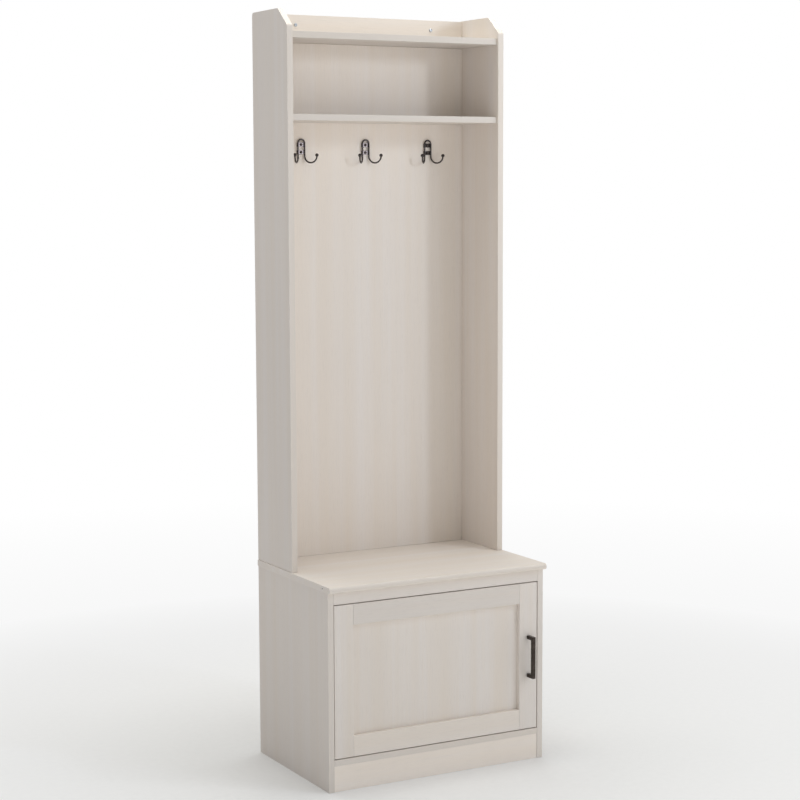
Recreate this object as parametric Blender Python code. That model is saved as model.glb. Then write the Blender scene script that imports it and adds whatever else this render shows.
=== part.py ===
"""Hall tree: a bench cabinet with one inset door, and a tall back with coat hooks and two shelves.

Metres, +Z up. The front faces -Y and the origin is on the floor, under the middle of the object.
Heights are measured from the floor, and depths forward from the plane of the back edges.
"""

from math import cos, hypot, pi, radians, sin

import bmesh
import bpy
from mathutils import Matrix, Vector

# Whole object
WIDTH = 0.600
HEIGHT = 1.840
BOARD = 0.015
TOUCH = 0.0003

# Cabinet
CABINET_DEPTH = 0.386
SEAT_HEIGHT = 0.494
SEAT_END_OVERHANG = 0.002
SEAT_FRONT_OVERHANG = 0.014
SEAT_NOSE_RADIUS = 0.0065
PLINTH_HEIGHT = 0.062
PLINTH_SET_BACK = 0.0015
FRONT_RAIL_HEIGHT = 0.029
BACK_SHEET = 0.003
BACK_SHEET_LAP = 0.008

# Shelf inside the cabinet
INNER_SHELF_HEIGHT = 0.270
INNER_SHELF_SIDE_PLAY = 0.0015
INNER_SHELF_FRONT_SPACE = 0.050
INNER_SHELF_BACK_SPACE = 0.010
SHELF_PIN_RADIUS = 0.0025
SHELF_PIN_DEPTH = 0.008
SHELF_PIN_REACH = 0.009
SHELF_PIN_INSET = 0.045
SHELF_HOLE_PITCH = 0.032
SHELF_HOLE_ROWS = 3

# Upper part
UPPER_DEPTH = 0.195
CORNER_CLIP_HEIGHT = 0.042
CORNER_CLIP_DEPTH = 0.050
CORNER_ROUND = 0.008
UPPER_BACK_SET_IN = 0.003
SHELF_SET_BACK = 0.007
TOP_SHELF_DROP = 0.055
COMPARTMENT_HEIGHT = 0.178
GALLERY_DROP = 0.0015

# Wooden dowels between the cabinet, the seat and the upper sides
DOWEL_RADIUS = 0.004
DOWEL_EMBED = 0.015
DOWEL_FRONT_INSET = 0.035
DOWEL_BACK_INSET = 0.040

# Plugs in the ends of the seat
PLUG_RADIUS = 0.004
PLUG_LENGTH = 0.010
PLUG_HOLE_RADIUS = 0.0018
PLUG_HOLE_DEPTH = 0.007
PLUG_INSET = 0.039

# Coat hooks
HOOK_PITCH = 0.179
HOOK_DROP = 0.0385
WIRE_RADIUS = 0.002
HOOK_LOOP_RADIUS = 0.009
HOOK_STRAIGHT = 0.0315
HOOK_PRONG_SIDE = 0.021
HOOK_PRONG_REACH = 0.0255
HOOK_TIP_RISE = 0.002
HOOK_BALL_RADIUS = 0.0044
HOOK_STRAP_HEIGHT = 0.010
HOOK_STRAP_THICKNESS = 0.0022
HOOK_UPPER_STRAP_DROP = 0.0147
HOOK_STRAP_PITCH = 0.0187
WELD_DEPTH = 0.0005

# Screws
HOOK_SCREW_RADIUS = 0.0018
HOOK_SCREW_LENGTH = 0.014
HOOK_SCREW_HEAD_RADIUS = 0.0035
HOOK_SCREW_HEAD_HEIGHT = 0.0020
WALL_SCREW_SPACING = 0.380
WALL_SCREW_DROP = 0.0265
WALL_SCREW_RADIUS = 0.002
WALL_SCREW_HEAD_RADIUS = 0.0045
WALL_SCREW_HEAD_HEIGHT = 0.0022
SCREW_CLEARANCE = 0.0004

# Door
DOOR_HINGE_GAP = 0.0015
DOOR_PULL_GAP = 0.0025
DOOR_TOP_GAP = 0.0025
DOOR_BOTTOM_GAP = 0.0025
DOOR_FRAME_WIDTH = 0.050
DOOR_PANEL = 0.003
DOOR_PANEL_LAP = 0.008
DOOR_OPENING_DEG = 100.0

# Pull
PULL_BAR = 0.009
PULL_HOLE_SPACING = 0.096
PULL_REACH = 0.028
PULL_EDGE_ROUND = 0.0008
PULL_SCREW_RADIUS = 0.002
PULL_SCREW_GRIP = 0.010
PULL_SCREW_HEAD_RADIUS = 0.004
PULL_SCREW_HEAD_HEIGHT = 0.0022

# Concealed hinges. The links turn on a pin in the arm and on a pin in the door's cup.
HINGE_END_SPACE = 0.065
CUP_RADIUS = 0.0175
CUP_DEPTH = 0.011
CUP_WALL = 0.0012
CUP_EDGE_SPACE = 0.005
CUP_RIM = 0.0008
CUP_WING_WIDTH = 0.016
CUP_WING_SPAN = 0.054
CUP_WING_THICKNESS = 0.0012
CUP_PIN_EDGE_DISTANCE = 0.0115
CUP_PIN_DEPTH = 0.0036
CUP_EAR_THICKNESS = 0.0015
HINGE_PIN_RADIUS = 0.0012
PIN_CLEARANCE = 0.0003
LINK_THICKNESS = 0.0016
LINK_WIDTH = 0.009
LINK_EYE_RADIUS = 0.0026
LINK_RISE = 0.0058
LINK_SPAN = 0.017
LINK_DROP = 0.0132
LINK_TURN_DEG = 50.0
ARM_THICKNESS = 0.0025
ARM_NOSE_RADIUS = 0.0036
ARM_CHEEK = 0.0016
ARM_CHEEK_GAP = 0.0005
ARM_RUN = 0.026
PLATE_THICKNESS = 0.0025
PLATE_SET_BACK = 0.052
PLATE_LENGTH = 0.036
PLATE_SPAN = 0.044

# Magnetic catch and its strike
CATCH_WIDTH = 0.014
CATCH_DEPTH = 0.030
CATCH_HEIGHT = 0.044
STRIKE_THICKNESS = 0.0012
STRIKE_HEIGHT = 0.030
CATCH_AIR_GAP = 0.0004

ROUND_SIDES = 16
LARGE_ROUND_SIDES = 32
ARC_STEPS = 5

# Planes and lines that several pieces share
BACK_Y = max(CABINET_DEPTH + PULL_REACH, CABINET_DEPTH + SEAT_FRONT_OVERHANG) / 2
FRONT_Y = BACK_Y - CABINET_DEPTH
UPPER_FRONT_Y = BACK_Y - UPPER_DEPTH
UPPER_PANEL_Y = BACK_Y - UPPER_BACK_SET_IN - BOARD
OUTER_X = WIDTH / 2 - SEAT_END_OVERHANG
INNER_X = OUTER_X - BOARD
SEAT_UNDERSIDE = SEAT_HEIGHT - BOARD
CABINET_TOP = SEAT_UNDERSIDE - TOUCH
FLOOR_UNDERSIDE = PLINTH_HEIGHT + TOUCH
FLOOR_TOP = FLOOR_UNDERSIDE + BOARD
RAIL_UNDERSIDE = CABINET_TOP - FRONT_RAIL_HEIGHT
TOP_SHELF_TOP = HEIGHT - TOP_SHELF_DROP
MIDDLE_SHELF_TOP = TOP_SHELF_TOP - BOARD - COMPARTMENT_HEIGHT
SHELF_FRONT_Y = UPPER_FRONT_Y + SHELF_SET_BACK
HOOK_TOP = MIDDLE_SHELF_TOP - BOARD - HOOK_DROP
DOOR_LEFT = -INNER_X + DOOR_HINGE_GAP
DOOR_RIGHT = INNER_X - DOOR_PULL_GAP
DOOR_BOTTOM = FLOOR_TOP + DOOR_BOTTOM_GAP
DOOR_TOP = RAIL_UNDERSIDE - DOOR_TOP_GAP
DOOR_BACK_Y = FRONT_Y + BOARD
DOOR_MIDDLE = (DOOR_BOTTOM + DOOR_TOP) / 2
HINGE_HEIGHTS = {"top": DOOR_TOP - HINGE_END_SPACE, "bottom": DOOR_BOTTOM + HINGE_END_SPACE}

# Pin positions seen from above. The arm's pin follows from the link's shape with the door fully open.
CUP_PIN = Vector((DOOR_LEFT + CUP_PIN_EDGE_DISTANCE, DOOR_BACK_Y - CUP_PIN_DEPTH))
FOLD = Matrix.Rotation(-radians(DOOR_OPENING_DEG + LINK_TURN_DEG), 2)
ARM_PIN = CUP_PIN + FOLD @ Vector((-LINK_SPAN, LINK_RISE - LINK_DROP))

SIDES = {"left": -1, "right": 1}
AXES = {
    "x": Matrix.Rotation(pi / 2, 4, "Y"),
    "y": Matrix.Rotation(-pi / 2, 4, "X"),
    "z": Matrix.Identity(4),
}


def clear_scene():
    for old in list(bpy.data.objects):
        bpy.data.objects.remove(old, do_unlink=True)


# Materials


def finish(name, colour, roughness, metallic=0.0):
    material = bpy.data.materials.new(name)
    material.use_nodes = True
    shader = material.node_tree.nodes["Principled BSDF"]
    shader.inputs["Base Color"].default_value = (*colour, 1.0)
    shader.inputs["Roughness"].default_value = roughness
    shader.inputs["Metallic"].default_value = metallic
    material.diffuse_color = (*colour, 1.0)
    return material


def make_finishes():
    return {
        "board": finish("whitewashed_laminate", (0.68, 0.63, 0.56), 0.55),
        "sheet": finish("laminated_hardboard", (0.66, 0.61, 0.54), 0.6),
        "bronze": finish("dark_bronze", (0.035, 0.027, 0.022), 0.35, 0.8),
        "zinc": finish("zinc_plated_steel", (0.62, 0.63, 0.64), 0.3, 1.0),
        "nickel": finish("nickel_plated_steel", (0.56, 0.55, 0.53), 0.25, 1.0),
        "dowel": finish("beech_dowel", (0.60, 0.42, 0.25), 0.7),
        "plug": finish("ivory_plastic", (0.72, 0.68, 0.62), 0.45),
        "catch": finish("grey_plastic", (0.45, 0.44, 0.42), 0.5),
    }


# Shapes


def add_object(name, mesh, place, material, parent=None):
    """Link a mesh as an object. place is in world coordinates, whatever the parent."""
    piece = bpy.data.objects.new(name, mesh)
    bpy.context.scene.collection.objects.link(piece)
    if material and not mesh.materials:
        mesh.materials.append(material)
    piece.parent = parent
    piece.location = Vector(place) - (parent.location if parent else Vector())
    return piece


def mesh_from(shape, name):
    bmesh.ops.recalc_face_normals(shape, faces=shape.faces)
    mesh = bpy.data.meshes.new(name)
    shape.to_mesh(mesh)
    shape.free()
    return mesh


def box_mesh(name, size):
    shape = bmesh.new()
    bmesh.ops.create_cube(shape, size=1.0)
    bmesh.ops.scale(shape, vec=size, verts=shape.verts)
    return mesh_from(shape, name)


def add_box(name, low, high, material, parent=None):
    low = Vector(low)
    high = Vector(high)
    return add_object(name, box_mesh(name, high - low), (low + high) / 2, material, parent)


def rod_shape(rods, sides=ROUND_SIDES):
    """One bmesh of cylinders, each given as its middle, axis letter, radius and length."""
    shape = bmesh.new()
    for middle, axis, radius, length in rods:
        bmesh.ops.create_cone(
            shape,
            cap_ends=True,
            segments=sides,
            radius1=radius,
            radius2=radius,
            depth=length,
            matrix=Matrix.Translation(middle) @ AXES[axis],
        )
    return shape


def smooth_rounds(mesh, angle=radians(35)):
    mesh.shade_smooth()
    mesh.set_sharp_from_angle(angle=angle)


def add_rod(name, middle, axis, radius, length, material, parent=None, sides=ROUND_SIDES):
    mesh = mesh_from(rod_shape([((0, 0, 0), axis, radius, length)], sides), name)
    smooth_rounds(mesh)
    return add_object(name, mesh, middle, material, parent)


def extrude_outline(name, outline, low, high):
    """A closed outline of (u, v) points, extruded from low to high along w, as (u, v, w) points."""
    shape = bmesh.new()
    face = shape.faces.new([shape.verts.new((u, v, low)) for u, v in outline])
    extruded = bmesh.ops.extrude_face_region(shape, geom=[face])["geom"]
    moved = [item for item in extruded if isinstance(item, bmesh.types.BMVert)]
    bmesh.ops.translate(shape, vec=(0, 0, high - low), verts=moved)
    return mesh_from(shape, name)


def arc(centre, radius, start_deg, end_deg, steps=ARC_STEPS):
    """Points (u, v) along an arc, both ends included."""
    points = []
    for step in range(steps + 1):
        angle = radians(start_deg + (end_deg - start_deg) * step / steps)
        points.append((centre[0] + radius * cos(angle), centre[1] + radius * sin(angle)))
    return points


def as_cutter(tool):
    tool.hide_render = True
    tool.display_type = "WIRE"


def combine(piece, tool, operation):
    as_cutter(tool)
    modifier = piece.modifiers.new(operation.lower() + "_" + tool.name, "BOOLEAN")
    modifier.operation = operation
    modifier.solver = "EXACT"
    modifier.object = tool


def cut(piece, tool):
    combine(piece, tool, "DIFFERENCE")


def drill(piece, rods, sides=ROUND_SIDES):
    name = piece.name + "_holes"
    cut(piece, add_object(name, mesh_from(rod_shape(rods, sides), name), (0, 0, 0), None))


def finished_mesh(piece, name):
    """The mesh that a piece's modifiers give, as a new plain mesh."""
    bpy.context.view_layer.update()
    graph = bpy.context.evaluated_depsgraph_get()
    mesh = bpy.data.meshes.new_from_object(piece.evaluated_get(graph))
    mesh.name = name
    return mesh


# Cabinet


def dowel_places():
    front = UPPER_FRONT_Y + DOWEL_FRONT_INSET
    back = BACK_Y - DOWEL_BACK_INSET
    places = {}
    for side, sign in SIDES.items():
        places["front_" + side] = (sign * (INNER_X + BOARD / 2), front)
        places["back_" + side] = (sign * (INNER_X + BOARD / 2), back)
    return places


def dowel_holes(sign):
    radius = DOWEL_RADIUS + TOUCH
    length = BOARD + 2 * (DOWEL_EMBED + TOUCH)
    middle = SEAT_HEIGHT - BOARD / 2
    return [((x, y, middle), "z", radius, length) for x, y in dowel_places().values() if x * sign > 0]


def shelf_pin_rows():
    """Depths (y) of the front and back rows of shelf holes."""
    front = DOOR_BACK_Y + INNER_SHELF_FRONT_SPACE + SHELF_PIN_INSET
    back = BACK_Y - INNER_SHELF_BACK_SPACE - SHELF_PIN_INSET
    return {"front": front, "back": back}


def shelf_pin_height():
    return INNER_SHELF_HEIGHT - BOARD - TOUCH - SHELF_PIN_RADIUS


def shelf_holes(sign):
    holes = []
    length = SHELF_PIN_DEPTH + TOUCH
    for y in shelf_pin_rows().values():
        for row in range(SHELF_HOLE_ROWS):
            z = shelf_pin_height() + (row - (SHELF_HOLE_ROWS - 1) / 2) * SHELF_HOLE_PITCH
            x = sign * (INNER_X + length / 2 - TOUCH)
            holes.append(((x, y, z), "x", SHELF_PIN_RADIUS + TOUCH, length + 2 * TOUCH))
    return holes


def back_sheet_box(grow):
    """Corners of the cabinet's back sheet, grown on each side by a clearance."""
    half = INNER_X + BACK_SHEET_LAP + grow
    low = (-half, BACK_Y - BACK_SHEET - grow, FLOOR_UNDERSIDE - grow)
    high = (half, BACK_Y + grow, CABINET_TOP + grow)
    return low, high


def make_lower_sides(finishes):
    for side, sign in SIDES.items():
        x_low, x_high = sorted((sign * INNER_X, sign * OUTER_X))
        name = "lower_side_" + side
        board = add_box(name, (x_low, FRONT_Y, 0), (x_high, BACK_Y, CABINET_TOP), finishes["board"])
        drill(board, dowel_holes(sign) + shelf_holes(sign))
        rebate = add_box(name + "_rebate", *back_sheet_box(TOUCH), None)
        cut(board, rebate)


def make_seat(finishes):
    front = FRONT_Y - SEAT_FRONT_OVERHANG
    radius = SEAT_NOSE_RADIUS
    outline = [(BACK_Y, SEAT_UNDERSIDE)]
    outline += [(BACK_Y, SEAT_HEIGHT)]
    outline += arc((front + radius, SEAT_HEIGHT - radius), radius, 90, 180)
    outline += arc((front + radius, SEAT_UNDERSIDE + radius), radius, 180, 270)
    mesh = extrude_outline("seat_board", outline, -WIDTH / 2, WIDTH / 2)
    mesh.transform(Matrix(((0, 0, 1, 0), (1, 0, 0, 0), (0, 1, 0, 0), (0, 0, 0, 1))))
    seat = add_object("seat_board", mesh, (0, 0, 0), finishes["board"])
    drill(seat, dowel_holes(-1) + dowel_holes(1) + plug_holes())


def plug_place(sign):
    x = sign * (WIDTH / 2 - PLUG_LENGTH / 2 - TOUCH)
    return (x, FRONT_Y - SEAT_FRONT_OVERHANG + PLUG_INSET, SEAT_HEIGHT - BOARD / 2)


def plug_holes():
    holes = []
    for sign in SIDES.values():
        holes.append((plug_place(sign), "x", PLUG_RADIUS + TOUCH, PLUG_LENGTH + 4 * TOUCH))
    return holes


def make_seat_plugs(finishes):
    for side, sign in SIDES.items():
        place = Vector(plug_place(sign))
        plug = add_rod("seat_end_plug_" + side, place, "x", PLUG_RADIUS, PLUG_LENGTH, finishes["plug"])
        mouth = place + Vector((sign * PLUG_LENGTH / 2, 0, 0))
        drill(plug, [(mouth, "x", PLUG_HOLE_RADIUS, 2 * PLUG_HOLE_DEPTH)])


def make_dowels(finishes):
    length = BOARD + 2 * DOWEL_EMBED
    middle = SEAT_HEIGHT - BOARD / 2
    for place, (x, y) in dowel_places().items():
        add_rod("seat_dowel_" + place, (x, y, middle), "z", DOWEL_RADIUS, length, finishes["dowel"])


def make_cabinet_boards(finishes):
    half = INNER_X - TOUCH
    back = BACK_Y - BACK_SHEET - TOUCH
    board = finishes["board"]
    add_box(
        "plinth",
        (-half, FRONT_Y + PLINTH_SET_BACK, 0),
        (half, FRONT_Y + PLINTH_SET_BACK + BOARD, PLINTH_HEIGHT),
        board,
    )
    add_box("cabinet_floor", (-half, FRONT_Y, FLOOR_UNDERSIDE), (half, back, FLOOR_TOP), board)
    add_box("front_rail", (-half, FRONT_Y, RAIL_UNDERSIDE), (half, FRONT_Y + BOARD, CABINET_TOP), board)
    add_box("cabinet_back", *back_sheet_box(0), finishes["sheet"])


def make_inner_shelf(finishes):
    half = INNER_X - INNER_SHELF_SIDE_PLAY
    front = DOOR_BACK_Y + INNER_SHELF_FRONT_SPACE
    back = BACK_Y - INNER_SHELF_BACK_SPACE
    low = (-half, front, INNER_SHELF_HEIGHT - BOARD)
    add_box("inner_shelf", low, (half, back, INNER_SHELF_HEIGHT), finishes["board"])
    length = SHELF_PIN_DEPTH + SHELF_PIN_REACH
    for side, sign in SIDES.items():
        x = sign * (INNER_X + SHELF_PIN_DEPTH - length / 2)
        for row, y in shelf_pin_rows().items():
            place = (x, y, shelf_pin_height())
            name = "shelf_pin_" + row + "_" + side
            add_rod(name, place, "x", SHELF_PIN_RADIUS, length, finishes["zinc"])


# Upper part


def make_upper_sides(finishes):
    bottom = SEAT_HEIGHT + TOUCH
    radius = CORNER_ROUND
    slope = Vector((CORNER_CLIP_DEPTH, CORNER_CLIP_HEIGHT)).normalized()
    low_corner = Vector((UPPER_FRONT_Y, HEIGHT - CORNER_CLIP_HEIGHT))
    high_corner = Vector((UPPER_FRONT_Y + CORNER_CLIP_DEPTH, HEIGHT))
    outline = [(UPPER_FRONT_Y, bottom)]
    outline += rounded_corner(low_corner, Vector((0, -1)), slope, radius)
    outline += rounded_corner(high_corner, -slope, Vector((1, 0)), radius)
    outline += rounded_corner(Vector((BACK_Y, HEIGHT)), Vector((-1, 0)), Vector((0, -1)), radius)
    outline += [(BACK_Y, bottom)]
    for side, sign in SIDES.items():
        name = "upper_side_" + side
        x_low, x_high = sorted((sign * INNER_X, sign * OUTER_X))
        mesh = extrude_outline(name, outline, x_low, x_high)
        mesh.transform(Matrix(((0, 0, 1, 0), (1, 0, 0, 0), (0, 1, 0, 0), (0, 0, 0, 1))))
        board = add_object(name, mesh, (0, 0, 0), finishes["board"])
        drill(board, dowel_holes(sign))


def rounded_corner(corner, to_previous, to_next, radius):
    """Points that round a corner, given unit directions towards the points before and after it."""
    half_angle = to_previous.angle(to_next) / 2
    reach = radius / (sin(half_angle) / cos(half_angle))
    start = corner + to_previous * reach
    end = corner + to_next * reach
    centre = corner + (to_previous + to_next).normalized() * (radius / sin(half_angle))
    points = []
    for step in range(ARC_STEPS + 1):
        mix = start.lerp(end, step / ARC_STEPS) - centre
        points.append(tuple(centre + mix.normalized() * radius))
    return points


def make_shelves(finishes):
    half = INNER_X - TOUCH
    board = finishes["board"]
    back = BACK_Y - UPPER_BACK_SET_IN
    low = (-half, SHELF_FRONT_Y, TOP_SHELF_TOP - BOARD)
    add_box("top_shelf", low, (half, back, TOP_SHELF_TOP), board)
    low = (-half, SHELF_FRONT_Y, MIDDLE_SHELF_TOP - BOARD)
    add_box("middle_shelf", low, (half, UPPER_PANEL_Y - TOUCH, MIDDLE_SHELF_TOP), board)


def hook_centres():
    return {"left": -HOOK_PITCH, "centre": 0.0, "right": HOOK_PITCH}


def strap_heights():
    """Heights of the middles of each hook's two straps."""
    upper = HOOK_TOP - HOOK_UPPER_STRAP_DROP
    return {"upper": upper, "lower": upper - HOOK_STRAP_PITCH}


def hook_screw_holes():
    radius = HOOK_SCREW_RADIUS + SCREW_CLEARANCE
    depth = HOOK_SCREW_LENGTH - HOOK_STRAP_THICKNESS
    holes = []
    for x in hook_centres().values():
        for z in strap_heights().values():
            holes.append(((x, UPPER_PANEL_Y, z), "y", radius, 2 * depth))
    return holes


def wall_screw_places():
    z = HEIGHT - WALL_SCREW_DROP
    return {side: (sign * WALL_SCREW_SPACING / 2, z) for side, sign in SIDES.items()}


def make_upper_backs(finishes):
    half = INNER_X - TOUCH
    back = BACK_Y - UPPER_BACK_SET_IN
    low = (-half, UPPER_PANEL_Y, SEAT_HEIGHT + TOUCH)
    high = (half, back, TOP_SHELF_TOP - BOARD - TOUCH)
    panel = add_box("upper_back_panel", low, high, finishes["board"])
    drill(panel, hook_screw_holes())
    low = (-half, UPPER_PANEL_Y, TOP_SHELF_TOP + TOUCH)
    gallery = add_box("gallery_rail", low, (half, back, HEIGHT - GALLERY_DROP), finishes["board"])
    radius = WALL_SCREW_RADIUS + SCREW_CLEARANCE
    middle = UPPER_PANEL_Y + BOARD / 2
    drill(gallery, [((x, middle, z), "y", radius, 2 * BOARD) for x, z in wall_screw_places().values()])


# Coat hooks and screws


def hook_wire_path():
    """The wire's middle line. Its origin is at the panel's face, level with the top of the loop."""
    wall_gap = HOOK_STRAP_THICKNESS + WIRE_RADIUS - WELD_DEPTH
    loop_middle = -WIRE_RADIUS - HOOK_LOOP_RADIUS
    bend = hypot(HOOK_PRONG_SIDE, HOOK_PRONG_REACH) / 2
    bend_middle = loop_middle - HOOK_STRAIGHT
    prong = [(2 * bend, bend_middle + HOOK_TIP_RISE)]
    for across, up in arc((bend, bend_middle), bend, 0, -180, 2 * ARC_STEPS):
        prong.append((across, up))
    points = []
    for across, up in prong:
        share = across / (2 * bend)
        x = -HOOK_LOOP_RADIUS - share * HOOK_PRONG_SIDE
        points.append((x, -wall_gap - share * HOOK_PRONG_REACH, up))
    other_leg = [(-x, y, z) for x, y, z in reversed(points)]
    for x, z in arc((0, loop_middle), HOOK_LOOP_RADIUS, 180, 0, 2 * ARC_STEPS):
        points.append((x, -wall_gap, z))
    return points + other_leg


def hook_wire():
    curve = bpy.data.curves.new("hook_wire", "CURVE")
    curve.dimensions = "3D"
    curve.bevel_depth = WIRE_RADIUS
    curve.bevel_resolution = 3
    curve.use_fill_caps = True
    path = hook_wire_path()
    spline = curve.splines.new("POLY")
    spline.points.add(len(path) - 1)
    for point, place in zip(spline.points, path):
        point.co = (*place, 1.0)
    wire = add_object("hook_wire", curve, (0, 0, 0), None)
    as_cutter(wire)
    return wire, path


def ball_mesh(radius):
    shape = bmesh.new()
    bmesh.ops.create_uvsphere(shape, u_segments=14, v_segments=9, radius=radius)
    return mesh_from(shape, "hook_ball")


def make_coat_hooks(finishes):
    wire, path = hook_wire()
    body = add_object("hook_body", finished_mesh(wire, "hook_body"), (0, 0, 0), None)
    for name, tip in (("hook_ball_left", path[0]), ("hook_ball_right", path[-1])):
        combine(body, add_object(name, ball_mesh(HOOK_BALL_RADIUS), tip, None), "UNION")
    half = HOOK_LOOP_RADIUS + WIRE_RADIUS
    holes = []
    for name, height in strap_heights().items():
        z = height - HOOK_TOP
        low = (-half, -HOOK_STRAP_THICKNESS, z - HOOK_STRAP_HEIGHT / 2)
        high = (half, 0, z + HOOK_STRAP_HEIGHT / 2)
        combine(body, add_box("hook_strap_" + name, low, high, None), "UNION")
        holes.append(((0, 0, z), "y", HOOK_SCREW_RADIUS + SCREW_CLEARANCE, 4 * HOOK_STRAP_THICKNESS))
    drill(body, holes)
    mesh = finished_mesh(body, "coat_hook")
    as_cutter(body)
    smooth_rounds(mesh)
    for name, x in hook_centres().items():
        add_object("coat_hook_" + name, mesh, (x, UPPER_PANEL_Y - TOUCH, HOOK_TOP), finishes["bronze"])


def screw_mesh(name, shank_radius, shank_length, head_radius, head_height):
    """A pan-head screw. The underside of its head is at the origin, and its shank runs along +Y."""
    outline = [(0.0, -head_height), (head_radius * 0.6, -head_height), (head_radius, -head_height * 0.4)]
    outline += [(head_radius, 0.0), (shank_radius, 0.0), (shank_radius, shank_length), (0.0, shank_length)]
    shape = bmesh.new()
    profile = [shape.verts.new((x, y, 0)) for x, y in outline]
    edges = [shape.edges.new(pair) for pair in zip(profile, profile[1:])]
    bmesh.ops.spin(
        shape,
        geom=profile + edges,
        cent=(0, 0, 0),
        axis=(0, 1, 0),
        angle=2 * pi,
        steps=ROUND_SIDES,
        use_merge=True,
    )
    bmesh.ops.remove_doubles(shape, verts=shape.verts, dist=1e-6)
    mesh = mesh_from(shape, name)
    smooth_rounds(mesh)
    return mesh


def make_hook_screws(finishes):
    length = HOOK_SCREW_LENGTH - TOUCH
    mesh = screw_mesh("hook_screw", HOOK_SCREW_RADIUS, length, HOOK_SCREW_HEAD_RADIUS, HOOK_SCREW_HEAD_HEIGHT)
    head_seat = UPPER_PANEL_Y - HOOK_STRAP_THICKNESS - 2 * TOUCH
    for hook, x in hook_centres().items():
        for strap, z in strap_heights().items():
            name = "hook_screw_" + hook + "_" + strap
            add_object(name, mesh, (x, head_seat, z), finishes["bronze"])


def make_wall_screws(finishes):
    length = BOARD - TOUCH
    mesh = screw_mesh("wall_screw", WALL_SCREW_RADIUS, length, WALL_SCREW_HEAD_RADIUS, WALL_SCREW_HEAD_HEIGHT)
    for side, (x, z) in wall_screw_places().items():
        add_object("wall_screw_" + side, mesh, (x, UPPER_PANEL_Y - TOUCH, z), finishes["zinc"])


# Door


def door_panel_box(grow):
    """Corners of the door's thin panel, which lies in a rebate at the back of the frame."""
    reach = DOOR_FRAME_WIDTH - DOOR_PANEL_LAP - grow
    low = (DOOR_LEFT + reach, DOOR_BACK_Y - DOOR_PANEL - grow, DOOR_BOTTOM + reach)
    high = (DOOR_RIGHT - reach, DOOR_BACK_Y + grow, DOOR_TOP - reach)
    return low, high


def cup_place(height):
    x = DOOR_LEFT + CUP_EDGE_SPACE + CUP_RADIUS
    return Vector((x, DOOR_BACK_Y, height))


def make_door_frame(finishes, door):
    board = finishes["board"]
    inner_left = DOOR_LEFT + DOOR_FRAME_WIDTH
    inner_right = DOOR_RIGHT - DOOR_FRAME_WIDTH
    stiles = {"door_stile_hinge": (DOOR_LEFT, inner_left), "door_stile_pull": (inner_right, DOOR_RIGHT)}
    members = {}
    for name, (left, right) in stiles.items():
        low = (left, FRONT_Y, DOOR_BOTTOM)
        members[name] = add_box(name, low, (right, DOOR_BACK_Y, DOOR_TOP), board, door)
    rails = {
        "door_rail_top": (DOOR_TOP - DOOR_FRAME_WIDTH, DOOR_TOP),
        "door_rail_bottom": (DOOR_BOTTOM, DOOR_BOTTOM + DOOR_FRAME_WIDTH),
    }
    for name, (bottom, top) in rails.items():
        low = (inner_left + TOUCH, FRONT_Y, bottom)
        high = (inner_right - TOUCH, DOOR_BACK_Y, top)
        members[name] = add_box(name, low, high, board, door)
    for name, member in members.items():
        cut(member, add_box(name + "_rebate", *door_panel_box(TOUCH), None))
    panel = add_box("door_panel", *door_panel_box(0), finishes["sheet"], door)
    bore = 2 * (CUP_DEPTH + TOUCH)
    bores = [(cup_place(z), "y", CUP_RADIUS + TOUCH, bore) for z in HINGE_HEIGHTS.values()]
    drill(members["door_stile_hinge"], bores, LARGE_ROUND_SIDES)
    drill(panel, bores, LARGE_ROUND_SIDES)
    holes = [(place, "y", PULL_SCREW_RADIUS + SCREW_CLEARANCE, 4 * BOARD) for place in pull_feet().values()]
    drill(members["door_stile_pull"], holes)


def pull_x():
    return DOOR_RIGHT - DOOR_FRAME_WIDTH / 2


def pull_feet():
    """Middles of the pull's two feet, on the door's face."""
    heights = {"upper": DOOR_MIDDLE + PULL_HOLE_SPACING / 2, "lower": DOOR_MIDDLE - PULL_HOLE_SPACING / 2}
    return {name: (pull_x(), FRONT_Y, z) for name, z in heights.items()}


def make_pull(finishes, door):
    outer = (PULL_HOLE_SPACING + PULL_BAR) / 2
    inner = (PULL_HOLE_SPACING - PULL_BAR) / 2
    face = FRONT_Y - TOUCH
    front = FRONT_Y - PULL_REACH
    outline = [(face, outer), (face, inner), (front + PULL_BAR, inner), (front + PULL_BAR, -inner)]
    outline += [(face, -inner), (face, -outer), (front, -outer), (front, outer)]
    mesh = extrude_outline("door_pull", outline, -PULL_BAR / 2, PULL_BAR / 2)
    mesh.transform(Matrix(((0, 0, 1, 0), (1, 0, 0, 0), (0, 1, 0, 0), (0, 0, 0, 1))))
    pull = add_object("door_pull", mesh, (pull_x(), 0, DOOR_MIDDLE), finishes["bronze"], door)
    bevel = pull.modifiers.new("eased_edges", "BEVEL")
    bevel.width = PULL_EDGE_ROUND
    bevel.segments = 2
    bevel.limit_method = "ANGLE"
    radius = PULL_SCREW_RADIUS + SCREW_CLEARANCE
    grip = 2 * (PULL_SCREW_GRIP + 2 * TOUCH)
    drill(pull, [(place, "y", radius, grip) for place in pull_feet().values()])


def make_pull_screws(finishes, door):
    length = BOARD + PULL_SCREW_GRIP
    mesh = screw_mesh("pull_screw", PULL_SCREW_RADIUS, length, PULL_SCREW_HEAD_RADIUS, PULL_SCREW_HEAD_HEIGHT)
    mesh.transform(Matrix.Rotation(pi, 4, "Z"))
    for name, (x, _, z) in pull_feet().items():
        add_object("pull_screw_" + name, mesh, (x, DOOR_BACK_Y + TOUCH, z), finishes["zinc"], door)


# Hinges


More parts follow.
